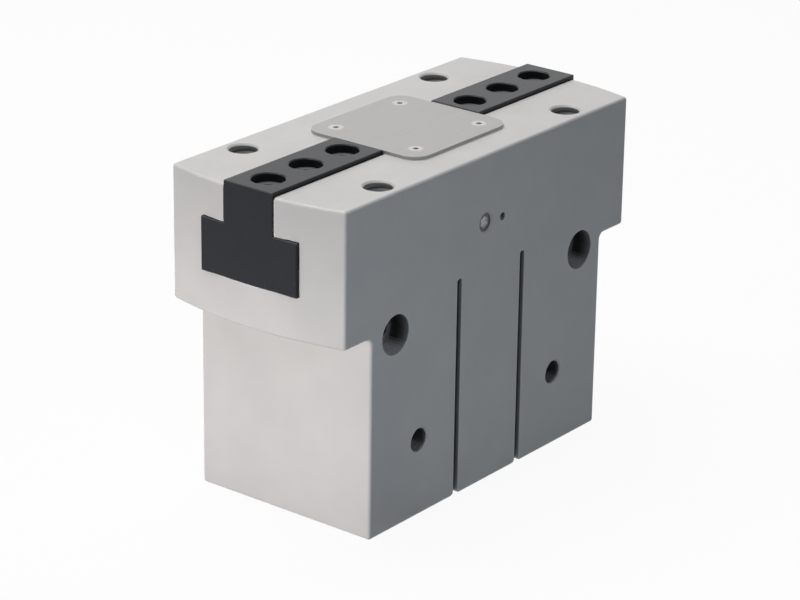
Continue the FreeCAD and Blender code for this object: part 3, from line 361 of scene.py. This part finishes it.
def bush_bronze():
    """Sintered bush with dark pores."""
    finish = Finish("bush_bronze", metallic=0.8)
    pores = finish.noise(2200, 3)
    colour = finish.tones(pores, (0.30, 0.20, 0.09), (0.60, 0.43, 0.21), start=0.35, end=0.5)
    return finish.skin(pores, colour, roughness=(0.50, 0.32), strength=0.2, depth=0.02 * MM)


def magnet():
    """Plated magnets, smooth and bright."""
    finish = Finish("magnet", metallic=0.9)
    cloud = finish.noise(800, 3)
    colour = finish.tones(cloud, (0.48, 0.47, 0.46), (0.60, 0.59, 0.57))
    return finish.skin(cloud, colour, roughness=(0.18, 0.30), strength=0.05, depth=0.01 * MM)


FINISHES = {
    make.__name__: make()
    for make in (
        anodised_aluminium, machined_aluminium, black_steel, ground_steel, plate_steel, bright_steel,
        plug_painted_shade_and_glint, spring_steel, seal_rubber, band_plastic, bush_bronze, magnet, top_thread, deep_thread,
    )
}


def finish_solids():
    """Give each solid its own finish, or the one that the record names for it."""
    for part in record["subparts"]:
        solid = frame["nodes"][part["node"]]
        solid.data.materials.clear()
        solid.data.materials.append(FINISHES[OWN_LOOKS.get(part["node"], part["material_slot"])])


def hole_places(mount):
    """Centres of a mount's holes, at the level where their threads start."""
    centre = Vector(mount["pos_m"])
    if mount["kind"] == "threaded_hole":
        half_wall = mount["dims"]["length_mm"] / 2 * MM
        return [centre + Vector(mount["axis"]) * (half_wall - PORT_THREAD_START)]
    along = mount["dims"].get("spacing_x_mm", 0) / 2 * MM
    across = mount["dims"].get("spacing_y_mm", 0) / 2 * MM
    signs = [(x, y) for x in (-1, 1) for y in ((-1, 1) if across else (0,))]
    return [centre + Vector((along * x, across * y, 0)) for x, y in signs]


def thread_mesh(name, radius, pitch, length):
    """One turn after another of a ridge on a hole's wall, from the mouth at the origin down along -Z."""
    count = int(length / pitch * RIDGE_STEPS)
    half_foot = RIDGE_FOOT / 2 * pitch
    wall = radius + RIDGE_SINK
    made = bmesh.new()
    rows = []
    for step in range(count + 1):
        angle = 2 * math.pi * step / RIDGE_STEPS
        level = -pitch * step / RIDGE_STEPS - half_foot
        turns_to_end = min(step, count - step) / RIDGE_STEPS
        height = RIDGE_HEIGHT * pitch * min(1, turns_to_end / RIDGE_RUNOUT)
        section = ((wall, level + half_foot), (wall, level - half_foot), (radius - height, level))
        rows.append([made.verts.new((r * math.cos(angle), r * math.sin(angle), z)) for r, z in section])
    for first, second in zip(rows, rows[1:]):
        for corner, following in ((0, 1), (1, 2), (2, 0)):
            made.faces.new((first[corner], first[following], second[following], second[corner]))
    made.faces.new(rows[0])
    made.faces.new(rows[-1])
    bmesh.ops.recalc_face_normals(made, faces=made.faces)
    mesh = bpy.data.meshes.new(name)
    made.to_mesh(mesh)
    made.free()
    return mesh


def add_threads():
    """A thread in every tapped hole, on the body that the hole is in."""
    made_at = set()
    for mount in record["mounts"]:
        kind = next((start for start in THREADS if mount["name"].startswith(start)), None)
        if kind is None or mount["kind"] == "flat_face":
            continue
        thread = THREADS[kind]
        radius = (mount["dims"].get("hole_r_mm") or mount["dims"].get("r_mm")) * MM
        turn = Vector((0, 0, 1)).rotation_difference(Vector(mount["axis"])).to_matrix().to_4x4()
        for place in hole_places(mount):
            key = tuple(round(value, 5) for value in place)
            if key in made_at:
                continue
            made_at.add(key)
            name = f"{kind}_thread_{len(made_at)}"
            piece = bpy.data.objects.new(name, thread_mesh(name, radius, thread.pitch, thread.length))
            bpy.context.scene.collection.objects.link(piece)
            piece.matrix_world = Matrix.Translation(place) @ turn
            piece.data.materials.append(FINISHES[thread.look])
            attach(piece, thread.body)


def seen_directly(tree):
    """1 for what the camera, a mirror or a glass shows, 0 for light on the object."""
    path = tree.nodes.new("ShaderNodeLightPath")
    total = path.outputs["Is Camera Ray"]
    for name in ("Is Glossy Ray", "Is Transmission Ray"):
        either = tree.nodes.new("ShaderNodeMath")
        either.operation = "MAXIMUM"
        tree.links.new(total, either.inputs[0])
        tree.links.new(path.outputs[name], either.inputs[1])
        total = either.outputs["Value"]
    return total


def mix_shaders(tree, share, first, second):
    """Two shaders, mixed by a number or by what a node says."""
    mix = tree.nodes.new("ShaderNodeMixShader")
    if isinstance(share, float):
        mix.inputs["Fac"].default_value = share
    else:
        tree.links.new(share, mix.inputs["Fac"])
    tree.links.new(first, mix.inputs[1])
    tree.links.new(second, mix.inputs[2])
    return mix.outputs["Shader"]


def plain_shader(tree, kind, colour, strength=None):
    """A shader of one colour, with a strength where it gives light."""
    made = tree.nodes.new(kind)
    made.inputs["Color"].default_value = colour
    if strength is not None:
        made.inputs["Strength"].default_value = strength
    return made.outputs[0]


def add_floor():
    """Pale floor that keeps the object's shadow."""
    material = bpy.data.materials.new("floor")
    material.use_nodes = True
    tree = material.node_tree
    tree.nodes.remove(tree.nodes["Principled BSDF"])
    pale = plain_shader(tree, "ShaderNodeBsdfDiffuse", FLOOR_PALE)
    white = plain_shader(tree, "ShaderNodeEmission", WHITE, 1.0)
    bounce = plain_shader(tree, "ShaderNodeBsdfDiffuse", FLOOR_BOUNCE)
    seen = mix_shaders(tree, FLOOR_WHITE_SHARE, pale, white)
    surface = mix_shaders(tree, seen_directly(tree), bounce, seen)
    tree.links.new(surface, tree.nodes["Material Output"].inputs["Surface"])

    made = bmesh.new()
    bmesh.ops.create_grid(made, x_segments=1, y_segments=1, size=FLOOR_HALF)
    mesh = bpy.data.meshes.new("floor")
    made.to_mesh(mesh)
    made.free()
    floor = bpy.data.objects.new("floor", mesh)
    floor.data.materials.append(material)
    bpy.context.scene.collection.objects.link(floor)


def add_world():
    """White backdrop that gives the object only a dim fill light."""
    world = bpy.data.worlds.new("studio")
    world.use_nodes = True
    tree = world.node_tree
    tree.nodes.remove(tree.nodes["Background"])
    fill = plain_shader(tree, "ShaderNodeBackground", FILL_COLOUR, FILL_STRENGTH)
    white = plain_shader(tree, "ShaderNodeBackground", WHITE, 1.0)
    surface = mix_shaders(tree, seen_directly(tree), fill, white)
    tree.links.new(surface, tree.nodes["World Output"].inputs["Surface"])
    bpy.context.scene.world = world


def add_lamp(name, place, aim, size, spread, watts, colour, mirrored):
    """Soft rectangular lamp that points at a place on the object, and shows in its gloss or not."""
    lamp = bpy.data.lights.new(name, "AREA")
    lamp.shape = "RECTANGLE"
    lamp.size, lamp.size_y = size
    lamp.spread = spread
    lamp.energy = watts
    lamp.color = colour
    holder = bpy.data.objects.new(name, lamp)
    holder.visible_camera = False
    holder.visible_glossy = mirrored
    holder.location = place
    holder.rotation_euler = (aim - place).to_track_quat("-Z", "Y").to_euler()
    bpy.context.scene.collection.objects.link(holder)


def add_camera():
    """Camera at its place, turned by azimuth and elevation and then rolled."""
    lens = bpy.data.cameras.new("camera")
    lens.sensor_width = SENSOR_WIDTH
    lens.lens = FOCAL_PIXELS / IMAGE_WIDTH * SENSOR_WIDTH
    back = Vector((
        math.sin(CAMERA_AZIMUTH) * math.cos(CAMERA_ELEVATION),
        -math.cos(CAMERA_AZIMUTH) * math.cos(CAMERA_ELEVATION),
        math.sin(CAMERA_ELEVATION),
    ))
    right = Vector((0, 0, 1)).cross(back).normalized()
    up = back.cross(right)
    rolled_right = right * math.cos(CAMERA_ROLL) + up * math.sin(CAMERA_ROLL)
    rolled_up = up * math.cos(CAMERA_ROLL) - right * math.sin(CAMERA_ROLL)
    turn = Matrix((rolled_right, rolled_up, back)).transposed().to_4x4()
    camera = bpy.data.objects.new("camera", lens)
    camera.matrix_world = Matrix.Translation(CAMERA_PLACE) @ turn
    bpy.context.scene.collection.objects.link(camera)
    bpy.context.scene.camera = camera


finish_solids()
add_threads()
add_floor()
add_world()
for lamp_name, lamp_settings in LAMPS.items():
    add_lamp(lamp_name, **lamp_settings)
add_camera()
bpy.context.scene.view_settings.view_transform = "Standard"
